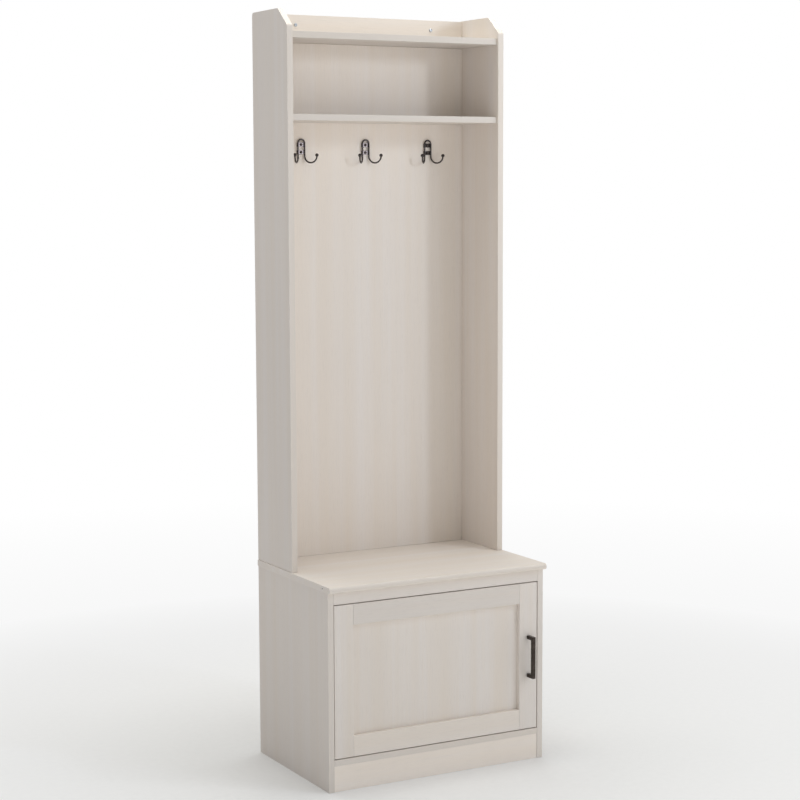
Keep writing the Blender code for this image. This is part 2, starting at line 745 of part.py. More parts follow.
def make_hinge_cups(finishes, door):
    """Cups sunk in the hinge stile, with wings on its back face and ears that hold the cup pins."""
    inner_radius = CUP_RADIUS - CUP_WALL
    for end, height in HINGE_HEIGHTS.items():
        centre = cup_place(height)
        name = "hinge_cup_" + end
        length = CUP_DEPTH + CUP_RIM
        middle = centre + Vector((0, CUP_RIM - length / 2, 0))
        cup = add_rod(name, middle, "y", CUP_RADIUS, length, finishes["nickel"], door, LARGE_ROUND_SIDES)
        wing_low = (centre.x - CUP_WING_WIDTH / 2, DOOR_BACK_Y + TOUCH, height - CUP_WING_SPAN / 2)
        wing_high = (centre.x + CUP_WING_WIDTH / 2, DOOR_BACK_Y + TOUCH + CUP_WING_THICKNESS)
        wings = add_box(name + "_wings", wing_low, (*wing_high, height + CUP_WING_SPAN / 2), None)
        combine(cup, wings, "UNION")
        hollow = CUP_DEPTH - CUP_WALL
        reach = hollow + CUP_RADIUS
        place = (centre.x, DOOR_BACK_Y - hollow + reach / 2, height)
        tool = mesh_from(rod_shape([(place, "y", inner_radius, reach)], LARGE_ROUND_SIDES), name)
        cut(cup, add_object(name + "_hollow", tool, (0, 0, 0), None))
        inside = LINK_WIDTH / 2 + ARM_CHEEK_GAP
        for label, sign in (("above", 1), ("below", -1)):
            z_low, z_high = sorted((height + sign * inside, height + sign * (inside + CUP_EAR_THICKNESS)))
            ear_low = (CUP_PIN.x - LINK_EYE_RADIUS, DOOR_BACK_Y - hollow - CUP_WALL / 2, z_low)
            ear_high = (CUP_PIN.x + LINK_EYE_RADIUS, CUP_PIN.y + LINK_EYE_RADIUS, z_high)
            combine(cup, add_box(name + "_ear_" + label, ear_low, ear_high, None), "UNION")
        pin_hole = HINGE_PIN_RADIUS + PIN_CLEARANCE
        span = 2 * (inside + CUP_EAR_THICKNESS) + 2 * TOUCH
        drill(cup, [((CUP_PIN.x, CUP_PIN.y, height), "z", pin_hole, span)])


def hinge_pin_length():
    return LINK_WIDTH + 2 * (ARM_CHEEK_GAP + CUP_EAR_THICKNESS)


def make_hinge_pins(finishes, door):
    for end, height in HINGE_HEIGHTS.items():
        nickel = finishes["nickel"]
        radius = HINGE_PIN_RADIUS
        length = hinge_pin_length()
        add_rod("hinge_cup_pin_" + end, (*CUP_PIN, height), "z", radius, length, nickel, door)
        add_rod("hinge_arm_pin_" + end, (*ARM_PIN, height), "z", radius, length, nickel)


def strip_outline(points, thickness):
    """Outline of a bent strip of even thickness that follows a line of points."""
    left = []
    right = []
    for index, point in enumerate(points):
        before = points[max(index - 1, 0)]
        after = points[min(index + 1, len(points) - 1)]
        first = (point - before).normalized() if index else (after - point).normalized()
        second = (after - point).normalized() if index < len(points) - 1 else first
        bisector = (first + second).normalized()
        normal = Vector((-bisector.y, bisector.x))
        offset = normal * (thickness / 2 / bisector.dot(first))
        left.append(point + offset)
        right.append(point - offset)
    return [tuple(point) for point in left + right[::-1]]


def link_line():
    """The link's middle line from the cup's pin to the arm's pin, folded as it is with the door shut."""
    corner = LINK_THICKNESS * 1.5
    over = [Vector((0, 0))]
    over += [Vector(p) for p in arc((-corner, LINK_RISE - corner), corner, 0, 90, 3)]
    over += [Vector(p) for p in arc((corner - LINK_SPAN, LINK_RISE - corner), corner, 90, 180, 3)]
    over += [Vector((-LINK_SPAN, LINK_RISE - LINK_DROP))]
    return [CUP_PIN + FOLD @ point for point in over]


def make_hinge_links(finishes, links):
    line = link_line()
    for end, height in HINGE_HEIGHTS.items():
        name = "hinge_link_" + end
        low = height - LINK_WIDTH / 2
        mesh = extrude_outline(name, strip_outline(line, LINK_THICKNESS), low, low + LINK_WIDTH)
        link = add_object(name, mesh, (0, 0, 0), finishes["nickel"], links)
        for eye, pin in (("cup", CUP_PIN), ("arm", ARM_PIN)):
            rod = [((*pin, height), "z", LINK_EYE_RADIUS, LINK_WIDTH)]
            tool = mesh_from(rod_shape(rod), name + "_" + eye)
            combine(link, add_object(name + "_" + eye + "_eye", tool, (0, 0, 0), None), "UNION")
        radius = HINGE_PIN_RADIUS + PIN_CLEARANCE
        drill(link, [((*pin, height), "z", radius, 2 * LINK_WIDTH) for pin in (CUP_PIN, ARM_PIN)])


def make_hinge_arms(finishes):
    """Cranked arms on plates screwed to the left side. Each nose is a fork around the link's eye."""
    plate_x = -INNER_X + TOUCH
    arm_x = plate_x + PLATE_THICKNESS + TOUCH + ARM_THICKNESS / 2
    plate_y = FRONT_Y + PLATE_SET_BACK
    half_width = LINK_WIDTH / 2 + ARM_CHEEK_GAP + ARM_CHEEK
    for end, height in HINGE_HEIGHTS.items():
        low = (plate_x, plate_y - PLATE_LENGTH / 2, height - PLATE_SPAN / 2)
        high = (plate_x + PLATE_THICKNESS, plate_y + PLATE_LENGTH / 2, height + PLATE_SPAN / 2)
        add_box("hinge_plate_" + end, low, high, finishes["nickel"])
        name = "hinge_arm_" + end
        bend_y = plate_y + PLATE_LENGTH / 2 - ARM_RUN
        line = [Vector((arm_x, plate_y + PLATE_LENGTH / 2)), Vector((arm_x, bend_y)), ARM_PIN]
        outline = strip_outline(line, ARM_THICKNESS)
        mesh = extrude_outline(name, outline, height - half_width, height + half_width)
        arm = add_object(name, mesh, (0, 0, 0), finishes["nickel"])
        nose = mesh_from(rod_shape([((*ARM_PIN, height), "z", ARM_NOSE_RADIUS, 2 * half_width)]), name)
        combine(arm, add_object(name + "_nose", nose, (0, 0, 0), None), "UNION")
        slot_radius = 2 * ARM_NOSE_RADIUS
        slot = rod_shape([((*ARM_PIN, height), "z", slot_radius, LINK_WIDTH + 2 * ARM_CHEEK_GAP)])
        cut(arm, add_object(name + "_slot", mesh_from(slot, name), (0, 0, 0), None))
        drill(arm, [((*ARM_PIN, height), "z", HINGE_PIN_RADIUS + PIN_CLEARANCE, 4 * half_width)])


def make_catch(finishes, door):
    """A magnetic catch on the right side, behind the pull stile, and the strike that it holds."""
    strike_front = DOOR_BACK_Y + TOUCH
    strike_back = strike_front + STRIKE_THICKNESS
    catch_front = strike_back + CATCH_AIR_GAP
    right = INNER_X - TOUCH
    left = right - CATCH_WIDTH
    low = (left, catch_front, DOOR_MIDDLE - CATCH_HEIGHT / 2)
    high = (right, catch_front + CATCH_DEPTH, DOOR_MIDDLE + CATCH_HEIGHT / 2)
    add_box("magnetic_catch", low, high, finishes["catch"])
    low = (left, strike_front, DOOR_MIDDLE - STRIKE_HEIGHT / 2)
    high = (min(right, DOOR_RIGHT) - TOUCH, strike_back, DOOR_MIDDLE + STRIKE_HEIGHT / 2)
    add_box("strike_plate", low, high, finishes["zinc"], door)


def add_axis(name, pin):
    """An empty on a vertical joint axis. The pieces that turn about the axis are its children."""
    axis = bpy.data.objects.new(name, None)
    axis.location = (*pin, DOOR_MIDDLE)
    bpy.context.scene.collection.objects.link(axis)
    return axis


def build():
    clear_scene()
    finishes = make_finishes()
    make_lower_sides(finishes)
    make_cabinet_boards(finishes)
    make_inner_shelf(finishes)
    make_seat(finishes)
    make_seat_plugs(finishes)
    make_dowels(finishes)
    make_upper_sides(finishes)
    make_shelves(finishes)
    make_upper_backs(finishes)
    make_coat_hooks(finishes)
    make_hook_screws(finishes)
    make_wall_screws(finishes)
    door = add_axis("door_axis", CUP_PIN)
    links = add_axis("hinge_link_axis", ARM_PIN)
    make_door_frame(finishes, door)
    make_pull(finishes, door)
    make_pull_screws(finishes, door)
    make_hinge_cups(finishes, door)
    make_hinge_pins(finishes, door)
    make_hinge_links(finishes, links)
    make_hinge_arms(finishes)
    make_catch(finishes, door)


build()
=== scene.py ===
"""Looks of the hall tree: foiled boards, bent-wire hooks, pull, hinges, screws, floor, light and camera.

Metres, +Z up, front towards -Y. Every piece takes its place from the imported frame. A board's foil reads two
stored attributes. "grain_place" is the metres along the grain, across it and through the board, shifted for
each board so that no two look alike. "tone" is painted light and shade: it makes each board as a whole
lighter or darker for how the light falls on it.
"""

from math import cos, hypot, pi, radians, sin

import bmesh
import bpy
import numpy as np
from mathutils import Euler, Matrix, Vector


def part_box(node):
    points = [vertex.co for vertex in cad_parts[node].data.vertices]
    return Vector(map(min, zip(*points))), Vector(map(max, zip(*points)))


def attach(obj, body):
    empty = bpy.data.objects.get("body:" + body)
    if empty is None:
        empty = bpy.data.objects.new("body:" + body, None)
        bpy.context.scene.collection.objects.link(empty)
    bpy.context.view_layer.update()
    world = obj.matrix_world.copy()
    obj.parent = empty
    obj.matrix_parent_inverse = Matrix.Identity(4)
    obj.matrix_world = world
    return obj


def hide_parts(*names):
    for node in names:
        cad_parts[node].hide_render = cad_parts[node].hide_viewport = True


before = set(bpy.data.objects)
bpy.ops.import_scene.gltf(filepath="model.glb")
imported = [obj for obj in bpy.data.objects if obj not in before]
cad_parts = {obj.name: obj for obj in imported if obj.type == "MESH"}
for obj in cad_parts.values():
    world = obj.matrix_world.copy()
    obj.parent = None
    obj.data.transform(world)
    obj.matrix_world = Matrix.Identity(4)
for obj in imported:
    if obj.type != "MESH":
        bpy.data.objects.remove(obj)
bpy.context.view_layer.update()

# Camera and light
CAMERA_PLACE = (-2.2701, -4.1206, 1.4224)
CAMERA_YAW = 28.789
CAMERA_PITCH = -6.352
CAMERA_ROLL = 0.194
CAMERA_LENS = 86.64
FLOOR_RADIUS = 14.0
FLOOR_GLOW = 0.92
SKY_COLOUR = (0.97, 0.97, 1.0, 1.0)
SKY = 0.312
UPPER_MIDDLE = (0.0, 0.1, 1.3)
# Name, place, aim, width, height, watts and colour of each panel light
PANEL_LIGHTS = (
    ("near_key", (1.125, -1.431, 2.08), (0.0, 0.18, 1.6), 0.16, 0.26, 6.0, (0.82, 0.91, 1.0)),
    ("far_key", (3.18, -4.99, 2.7), UPPER_MIDDLE, 0.95, 0.95, 10, (0.55, 0.65, 1.0)),
    ("card", (0.82, -1.62, 1.56), (0.0, 0.18, 1.52), 0.38, 0.20, 1.7, (0.92, 0.94, 1.0)),
    ("right", (2.75, -2.1, 1.5), UPPER_MIDDLE, 2.4, 2.2, 13, (1.0, 0.93, 0.82)),
    ("front", (0.0, -3.9, 1.8), UPPER_MIDDLE, 2.4, 2.0, 4.5, (1.0, 0.97, 0.60)),
    ("overhead", (0.0, 0.4, 4.5), (0.0, 0.4, 1.0), 2.4, 2.4, 118, (1.0, 1.0, 0.945)),
)

# Boards
EDGE_EASE = 0.0005
FRAME_EASE = 0.0007
SHEET_EASE = 0.0002
SEAT_NOSE_RADIUS = 0.0065
FIT = 0.0003
SHELF_HOLE_RADIUS = 0.0028
SHELF_HOLE_DEPTH = 0.0086
SHELF_HOLE_PITCH = 0.032
PLUG_BORE_RADIUS = 0.0043
PLUG_HOLE_RADIUS = 0.0021
CUP_BORE_RADIUS = 0.0178
NAIL_SPACING = 0.075
NAIL_INSET = 0.0045
NAIL_HEAD = 0.0013
NAIL_SINK = 0.0004
NAIL_DIMPLE = 1.35 * NAIL_HEAD
# Grain direction, number in the foil's pattern, and tone beside the common one; the tone is painted light and
# shade, each board lighter or darker for how the light falls on it
BOARDS = {
    "lower_side_left": ("z", 1, 0.97),
    "lower_side_right": ("z", 2, 1.0),
    "upper_side_left": ("z", 3, 0.95),
    "upper_side_right": ("z", 4, 1.0),
    "plinth": ("x", 5, 1.20),
    "cabinet_floor": ("x", 6, 1.0),
    "front_rail": ("x", 7, 1.0),
    "inner_shelf": ("x", 8, 1.0),
    "top_shelf": ("x", 9, 0.89),
    "middle_shelf": ("x", 10, 0.89),
    "seat_board": ("x", 12, 1.0),
    "upper_back_panel": ("z", 13, 1.05),
    "gallery_rail": ("x", 14, 1.02),
    "door_stile_hinge": ("z", 15, 1.03),
    "door_stile_pull": ("z", 16, 1.03),
    "door_rail_top": ("x", 17, 0.97),
    "door_rail_bottom": ("x", 18, 1.08),
    "door_panel": ("z", 19, 1.04),
    "cabinet_back": ("z", 20, 1.0),
}
GRAIN_ORDER = {"x": (0, 1, 2), "z": (2, 0, 1)}
PATTERN_STEP = (1.73, 0.83, 0.37)

# Coat hooks
HOOKS = ("left", "centre", "right")
WIRE_RADIUS = 0.002
LOOP_RADIUS = 0.009
STRAIGHT = 0.0315
PRONG_SIDE = 0.021
PRONG_REACH = 0.0255
TIP_RISE = 0.002
BALL_RADIUS = 0.0044
STRAP_HEIGHT = 0.010
STRAP_THICKNESS = 0.0022
STRAP_DROPS = (0.0147, 0.0334)
STRAP_EASE = 0.0004
WELD_DEPTH = 0.0005

# Pull
PULL_BAR = 0.009
PULL_EASE = 0.0011

# Head radius, head height and shank radius of each kind of screw
HOOK_SCREW = (0.0035, 0.0020, 0.0018)
WALL_SCREW = (0.0045, 0.0022, 0.0020)
PULL_SCREW = (0.0040, 0.0022, 0.0020)
HINGE_SCREW = (0.0032, 0.0013, 0.0012)
CATCH_SCREW = (0.0030, 0.0012, 0.0012)
SHORT_SHANK = 0.003
SCREW_SINK = 0.0001

# Hinges and catch
HINGE_PARTS = {"cup": "door", "arm": "cabinet", "plate": "cabinet", "link": "hinge_links"}
METAL_EASE = 0.00025
STRIKE_EASE = 0.0002
CUP_SCREW_REACH = 0.0225
PLATE_SCREW_REACH = 0.0165
ARM_SCREW_INSETS = (0.005, 0.017)
ARM_SCREW_RISE = 0.0027
CATCH_LIP = 0.0012
CATCH_SCREW_INSET = 0.006

# Cross recess of a screw, as shares of its head's radius, and the foot's share of the mouth
RECESS_REACH = 0.56
RECESS_HALF_WIDTH = 0.13
RECESS_TAPER = 0.45

BEND_STEPS = 24
ROUND_SIDES = 32
SMALL_SIDES = 24
TINY_SIDES = 12
SHARP_ANGLE = 35.0
SIDES = {"left": -1, "right": 1}
WHITE = (1.0, 1.0, 1.0, 1.0)


# Materials


def add_node(tree, kind, settings=None, inputs=None):
    """A node with its settings, and its inputs set to values or linked to sockets."""
    node = tree.nodes.new(kind)
    for name, value in (settings or {}).items():
        setattr(node, name, value)
    for key, value in (inputs or {}).items():
        if isinstance(value, bpy.types.NodeSocket):
            tree.links.new(value, node.inputs[key])
        else:
            node.inputs[key].default_value = value
    return node


def new_material(name, **settings):
    """A material, its tree and its shader, whose constant inputs are given by name with _ for a space."""
    material = bpy.data.materials.new(name)
    material.use_nodes = True
    shader = material.node_tree.nodes["Principled BSDF"]
    for key, value in settings.items():
        shader.inputs[key.replace("_", " ")].default_value = value
    return material, material.node_tree, shader


def stretched_noise(tree, place, stretch, detail=2.0, roughness=0.5, distortion=0.0):
    """Noise with this many waves to the metre along each axis."""
    mapping = add_node(tree, "ShaderNodeMapping", inputs={"Vector": place, "Scale": stretch})
    texture = add_node(
        tree,
        "ShaderNodeTexNoise",
        inputs={
            "Vector": mapping.outputs[0],
            "Scale": 1.0,
            "Detail": detail,
            "Roughness": roughness,
            "Distortion": distortion,
        },
    )
    return texture.outputs[0]


def spread(tree, value, low, high, to_low=0.0, to_high=1.0):
    """A value between low and high mapped to a new range, and held at its ends."""
    inputs = {"Value": value, "From Min": low, "From Max": high, "To Min": to_low, "To Max": to_high}
    return add_node(tree, "ShaderNodeMapRange", {"clamp": True}, inputs).outputs[0]


def arithmetic(tree, operation, first, second):
    return add_node(tree, "ShaderNodeMath", {"operation": operation}, {0: first, 1: second}).outputs[0]


def blend_colours(tree, share, first, second, kind="MIX"):
    settings = {"data_type": "RGBA", "blend_type": kind}
    return add_node(tree, "ShaderNodeMix", settings, {0: share, 6: first, 7: second}).outputs[2]


def link_bump(tree, shader, height, strength, depth):
    inputs = {"Strength": strength, "Distance": depth, "Height": height}
    bump = add_node(tree, "ShaderNodeBump", inputs=inputs)
    tree.links.new(bump.outputs[0], shader.inputs["Normal"])


def whitewashed_foil(name, pale, cream, grey, dull=0.0):
    """Foil printed as white-washed wood: broad bands, stripes, soft figure, fine fibres and short pores, with
    each board's painted light and shade from its tone.
    """
    material, tree, shader = new_material(name, Specular_IOR_Level=0.35)
    place = add_node(tree, "ShaderNodeAttribute", {"attribute_name": "grain_place"}).outputs["Vector"]
    bands = stretched_noise(tree, place, (0.45, 22.0, 22.0), 2.0, 0.5, 0.3)
    stripes = stretched_noise(tree, place, (0.5, 60.0, 60.0), 1.0, 0.5, 0.2)
    figure = stretched_noise(tree, place, (1.6, 95.0, 95.0), 3.0, 0.55, 0.6)
    fibres = stretched_noise(tree, place, (7.0, 430.0, 430.0), 3.0, 0.6)
    pores = stretched_noise(tree, place, (40.0, 1500.0, 1500.0), 1.0, 0.5)
    clouds = stretched_noise(tree, place, (2.0, 5.0, 5.0), 2.0, 0.5)
    toned = blend_colours(tree, spread(tree, bands, 0.32, 0.68), pale, cream)
    toned = blend_colours(tree, spread(tree, clouds, 0.35, 0.7, 0.0, 0.35), toned, grey)
    toned = blend_colours(tree, spread(tree, stripes, 0.50, 0.62, 0.0, 0.25), toned, cream)
    toned = blend_colours(tree, spread(tree, figure, 0.50, 0.72, 0.0, 0.38), toned, cream)
    toned = blend_colours(tree, spread(tree, fibres, 0.45, 0.75, 0.0, 0.32), toned, grey)
    darker = (grey[0] * 0.80, grey[1] * 0.78, grey[2] * 0.75, 1.0)
    toned = blend_colours(tree, spread(tree, pores, 0.60, 0.74, 0.0, 0.28), toned, darker)
    worn = add_node(tree, "ShaderNodeAttribute", {"attribute_name": "eased"}).outputs["Fac"]
    rub = arithmetic(tree, "MULTIPLY", worn, spread(tree, figure, 0.4, 0.6, 0.15, 0.45))
    lighter = (min(pale[0] * 1.08, 1.0), min(pale[1] * 1.09, 1.0), min(pale[2] * 1.12, 1.0), 1.0)
    toned = blend_colours(tree, rub, toned, lighter)
    # The board's tone is painted light and shade: it lightens or darkens the whole board for how the light
    # falls on it.
    board_light_and_shade = add_node(tree, "ShaderNodeAttribute", {"attribute_name": "tone"}).outputs["Fac"]
    with_painted_light = add_node(tree, "ShaderNodeVectorMath", {"operation": "SCALE"}, {0: toned, "Scale": board_light_and_shade})
    tree.links.new(with_painted_light.outputs[0], shader.inputs["Base Color"])
    tree.links.new(spread(tree, fibres, 0.3, 0.7, 0.58 + dull, 0.70 + dull), shader.inputs["Roughness"])
    fibre_relief = arithmetic(tree, "MULTIPLY", fibres, 0.6)
    pore_relief = arithmetic(tree, "MULTIPLY", pores, 0.4)
    link_bump(tree, shader, arithmetic(tree, "ADD", fibre_relief, pore_relief), 0.35, 0.00025)
    return material


def plated_metal(name, colour, tint, roughness):
    """Metal with faint cloudy tone, fine surface texture and edges rubbed a little brighter."""
    material, tree, shader = new_material(name, Metallic=1.0)
    place = add_node(tree, "ShaderNodeTexCoord").outputs["Object"]
    clouds = stretched_noise(tree, place, (90.0, 90.0, 90.0), 3.0)
    fine = stretched_noise(tree, place, (1400.0, 1400.0, 1400.0), 2.0)
    edges = add_node(tree, "ShaderNodeNewGeometry").outputs["Pointiness"]
    rubbed = spread(tree, edges, 0.52, 0.60, 0.0, 0.5)
    toned = blend_colours(tree, spread(tree, clouds, 0.35, 0.65), colour, tint)
    brighter = tuple(min(1.0, c * 1.5) for c in tint[:3]) + (1.0,)
    tree.links.new(blend_colours(tree, rubbed, toned, brighter), shader.inputs["Base Color"])
    mottled = spread(tree, arithmetic(tree, "MULTIPLY", clouds, fine), 0.1, 0.4, roughness, roughness * 1.6)
    tree.links.new(mottled, shader.inputs["Roughness"])
    link_bump(tree, shader, fine, 0.12, 0.00008)
    return material


def moulded_plastic(name, colour, roughness):
    """Plastic with a spark-eroded texture and slight unevenness of tone."""
    material, tree, shader = new_material(name)
    place = add_node(tree, "ShaderNodeTexCoord").outputs["Object"]
    grit = stretched_noise(tree, place, (2600.0, 2600.0, 2600.0), 2.0)
    clouds = stretched_noise(tree, place, (120.0, 120.0, 120.0), 2.0)
    deeper = (colour[0] * 0.88, colour[1] * 0.87, colour[2] * 0.85, 1.0)
    toned = blend_colours(tree, spread(tree, clouds, 0.35, 0.65), colour, deeper)
    tree.links.new(toned, shader.inputs["Base Color"])
    grained = spread(tree, grit, 0.3, 0.7, roughness * 0.85, roughness * 1.15)
    tree.links.new(grained, shader.inputs["Roughness"])
    link_bump(tree, shader, grit, 0.15, 0.0001)
    return material


def raw_wood(name, colour, dark, stretch):
    """Bare wood or chipboard: fibres along the longest stretch, or crumbs where the stretch is even."""
    material, tree, shader = new_material(name, Roughness=0.8)
    place = add_node(tree, "ShaderNodeTexCoord").outputs["Object"]
    fibres = stretched_noise(tree, place, stretch, 4.0, 0.6)
    toned = blend_colours(tree, spread(tree, fibres, 0.4, 0.68), colour, dark)
    tree.links.new(toned, shader.inputs["Base Color"])
    link_bump(tree, shader, fibres, 0.3, 0.0002)
    return material


def floor_paint():
    """Pale floor near the piece that glows to the white of the surroundings, so that it has no far edge."""
    material, tree, shader = new_material("pale_floor", Roughness=0.9, Specular_IOR_Level=0.1)
    place = add_node(tree, "ShaderNodeTexCoord").outputs["Object"]
    length = add_node(tree, "ShaderNodeVectorMath", {"operation": "LENGTH"}, {0: place})
    distance = length.outputs["Value"]
    grit = stretched_noise(tree, place, (60.0, 60.0, 60.0), 3.0)
    paint = blend_colours(tree, spread(tree, grit, 0.3, 0.7), (0.88, 0.88, 0.88, 1), (0.90, 0.90, 0.90, 1))
    tree.links.new(paint, shader.inputs["Base Color"])
    strength = spread(tree, distance, 1.5, 4.0, FLOOR_GLOW, 1.0)
    glow = add_node(tree, "ShaderNodeEmission", inputs={"Color": WHITE, "Strength": strength})
    near_to_far = spread(tree, distance, 0.5, 2.0)
    shaders = {0: near_to_far, 1: shader.outputs[0], 2: glow.outputs[0]}
    mixed = add_node(tree, "ShaderNodeMixShader", inputs=shaders)
    tree.links.new(mixed.outputs[0], tree.nodes["Material Output"].inputs["Surface"])
    return material


def make_finishes():
    pale = (0.840, 0.786, 0.738, 1.0)
    cream = (0.815, 0.742, 0.665, 1.0)
    grey = (0.775, 0.724, 0.684, 1.0)
    metals = {
        "bronze": ("dark_bronze", (0.080, 0.066, 0.058, 1.0), (0.048, 0.039, 0.034, 1.0), 0.20),
        "gloss_bronze": ("gloss_bronze", (0.100, 0.090, 0.092, 1.0), (0.064, 0.056, 0.056, 1.0), 0.055),
        "zinc": ("zinc_plating", (0.52, 0.54, 0.56, 1.0), (0.36, 0.38, 0.40, 1.0), 0.30),
        "nickel": ("nickel_plating", (0.64, 0.62, 0.59, 1.0), (0.52, 0.50, 0.47, 1.0), 0.24),
    }
    woods = {
        "beech": ("beech", (0.62, 0.44, 0.27, 1.0), (0.45, 0.29, 0.16, 1.0), (900.0, 900.0, 60.0)),
        "chipboard": ("chipboard", (0.42, 0.26, 0.15, 1.0), (0.22, 0.12, 0.06, 1.0), (1500.0,) * 3),
    }
    finishes = {
        "board": whitewashed_foil("whitewashed_laminate", pale, cream, grey),
        "sheet": whitewashed_foil("whitewashed_sheet", pale, cream, grey, 0.04),
    }
    finishes.update((key, plated_metal(*values)) for key, values in metals.items())
    finishes.update((key, raw_wood(*values)) for key, values in woods.items())
    finishes["ivory"] = moulded_plastic("ivory_plastic", (0.92, 0.92, 0.88, 1.0), 0.35)
    finishes["grey"] = moulded_plastic("grey_plastic", (0.42, 0.41, 0.39, 1.0), 0.5)
    return finishes


FINISHES = make_finishes()


# Making pieces


def place_piece(name, mesh, finish, body, nodes=()):
    """Link a finished mesh, with its place in its points, as a piece that rides on a body."""
    piece = bpy.data.objects.new(name, mesh)
    bpy.context.scene.collection.objects.link(piece)
    if not mesh.materials:
        mesh.materials.append(FINISHES[finish])
    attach(piece, body)
    if nodes:
        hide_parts(*nodes)
    return piece


def mesh_of(shape, name, sharp_angle=SHARP_ANGLE):
    """A bmesh turned into a mesh with smooth rounds and crisp corners."""
    mesh = bpy.data.meshes.new(name)
    shape.to_mesh(mesh)
    shape.free()
    mesh.shade_smooth()
    mesh.set_sharp_from_angle(angle=radians(sharp_angle))
    return mesh


def modified_mesh(mesh, add_modifiers):
    """The mesh that modifiers give. add_modifiers adds them to a helper and returns any other helpers."""
    helper = bpy.data.objects.new("helper", mesh)
    bpy.context.scene.collection.objects.link(helper)
    others = add_modifiers(helper) or []
    bpy.context.view_layer.update()
    graph = bpy.context.evaluated_depsgraph_get()
    made = bpy.data.meshes.new_from_object(helper.evaluated_get(graph))
    made.name = mesh.name
    for item in [helper, *others]:
        bpy.data.objects.remove(item)
    return made


def combined_mesh(mesh, other, operation="DIFFERENCE"):
    """The mesh with another closed mesh taken away from it, or joined to it by the operation UNION."""

    def combine(helper):
        tool = bpy.data.objects.new("tool", other)
        bpy.context.scene.collection.objects.link(tool)
        modifier = helper.modifiers.new("combined", "BOOLEAN")
        modifier.operation = operation
        modifier.solver = "EXACT"
        modifier.object = tool
        return [tool]

    return modified_mesh(mesh, combine)


def even_shading(mesh):
    """The mesh with its flat faces ruling the shading, so that eased edges don't shade them."""

    def weigh(helper):
        modifier = helper.modifiers.new("shading", "WEIGHTED_NORMAL")
        modifier.keep_sharp = True

    return modified_mesh(mesh, weigh)


def round_off(shape, edges, radius, steps):
    """Round edges, and give the faces that this makes."""
    made = bmesh.ops.bevel(
        shape, geom=edges, offset=radius, segments=steps, profile=0.5, affect="EDGES", clamp_overlap=True
    )
    return made["faces"]


def ease_edges(shape, radius, steps=2, least_angle=30.0):
    """Round every corner edge, and mark the new faces as eased."""
    mark = shape.faces.layers.float.get("eased") or shape.faces.layers.float.new("eased")
    edges = [edge for edge in shape.edges if edge.calc_face_angle(0.0) > radians(least_angle)]
    for face in round_off(shape, edges, radius, steps):
        face[mark] = 1.0


def add_box(shape, low, high):
    """Add a closed box between two corners, and give its eight points."""
    low = Vector(low)
    high = Vector(high)
    matrix = Matrix.Translation((low + high) / 2) @ Matrix.Diagonal((*(high - low), 1.0))
    return bmesh.ops.create_cube(shape, size=1.0, matrix=matrix)["verts"]


def add_rod(shape, middle, axis, radius, length, sides=ROUND_SIDES):
    """Add a closed round rod."""
    turn = Vector((0, 0, 1)).rotation_difference(Vector(axis)).to_matrix().to_4x4()
    matrix = Matrix.Translation(middle) @ turn
    bmesh.ops.create_cone(
        shape, cap_ends=True, segments=sides, radius1=radius, radius2=radius, depth=length, matrix=matrix
    )


def lathe(outline, sides=ROUND_SIDES):
    """A closed turned shape about Z from (radius, height) points that start and end on the axis."""
    shape = bmesh.new()
    points = [shape.verts.new((radius, 0.0, height)) for radius, height in outline]
    edges = [shape.edges.new(pair) for pair in zip(points, points[1:])]
    bmesh.ops.spin(
        shape, geom=points + edges, cent=(0, 0, 0), axis=(0, 0, 1), angle=2 * pi, steps=sides, use_merge=True
    )
    bmesh.ops.remove_doubles(shape, verts=shape.verts, dist=1e-6)
    bmesh.ops.recalc_face_normals(shape, faces=shape.faces)
    return shape


def round_profile(radius, height, rim, steps=4):
    """The upper outline of a head, from the axis down over a rounded rim, as (radius, height) points."""
    points = [(0.0, height)]
    for step in range(steps + 1):
        angle = radians(90 - 90 * step / steps)
        points.append((radius - rim + rim * cos(angle), height - rim + rim * sin(angle)))
    return points


# Boards


def board_blank(node):
    """The board's outline without holes: the convex hull of its CAD corners, with whole flat faces."""
    shape = bmesh.new()
    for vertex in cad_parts[node].data.vertices:
        shape.verts.new(vertex.co)
    bmesh.ops.remove_doubles(shape, verts=shape.verts, dist=1e-5)
    bmesh.ops.convex_hull(shape, input=shape.verts)
    inside = [vertex for vertex in shape.verts if not vertex.link_faces]
    bmesh.ops.delete(shape, geom=inside, context="VERTS")
    bmesh.ops.dissolve_limit(shape, angle_limit=radians(1), verts=shape.verts, edges=shape.edges)
    return shape


def store_grain(mesh, node):
    """Store the board's tone, which is painted light and shade for the whole board, and each point's place
    along, across and through the grain.
    """
    direction, number, tone = BOARDS[node]
    places = np.empty(len(mesh.vertices) * 3, np.float32)
    mesh.vertices.foreach_get("co", places)
    places = places.reshape(-1, 3)[:, GRAIN_ORDER[direction]]
    places = places + np.array(PATTERN_STEP) * (number + 1)
    place_store = mesh.attributes.new("grain_place", "FLOAT_VECTOR", "POINT")
    place_store.data.foreach_set("vector", places.astype(np.float32).ravel())
    light_and_shade_store = mesh.attributes.new("tone", "FLOAT", "POINT")
    light_and_shade_store.data.foreach_set("value", [tone] * len(mesh.vertices))


def make_board(node, body, ease=EDGE_EASE, cutters=(), finish="board", shape=None):
    """A board with eased edges and its holes cut, held within its CAD box."""
    shape = shape or board_blank(node)
    ease_edges(shape, ease)
    mesh = mesh_of(shape, node)
    for cutter in cutters:
        mesh = combined_mesh(mesh, cutter)
    mesh.shade_smooth()
    mesh.set_sharp_from_angle(angle=radians(SHARP_ANGLE))
    low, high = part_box(node)
    for vertex in mesh.vertices:
        vertex.co = Vector(sorted(limits)[1] for limits in zip(low, vertex.co, high))
    mesh = even_shading(mesh)
    store_grain(mesh, node)
    place_piece("foiled_" + node, mesh, finish, body, [node])


def box_cutter(low, high):
    shape = bmesh.new()
    add_box(shape, low, high)
    return mesh_of(shape, "cutter")


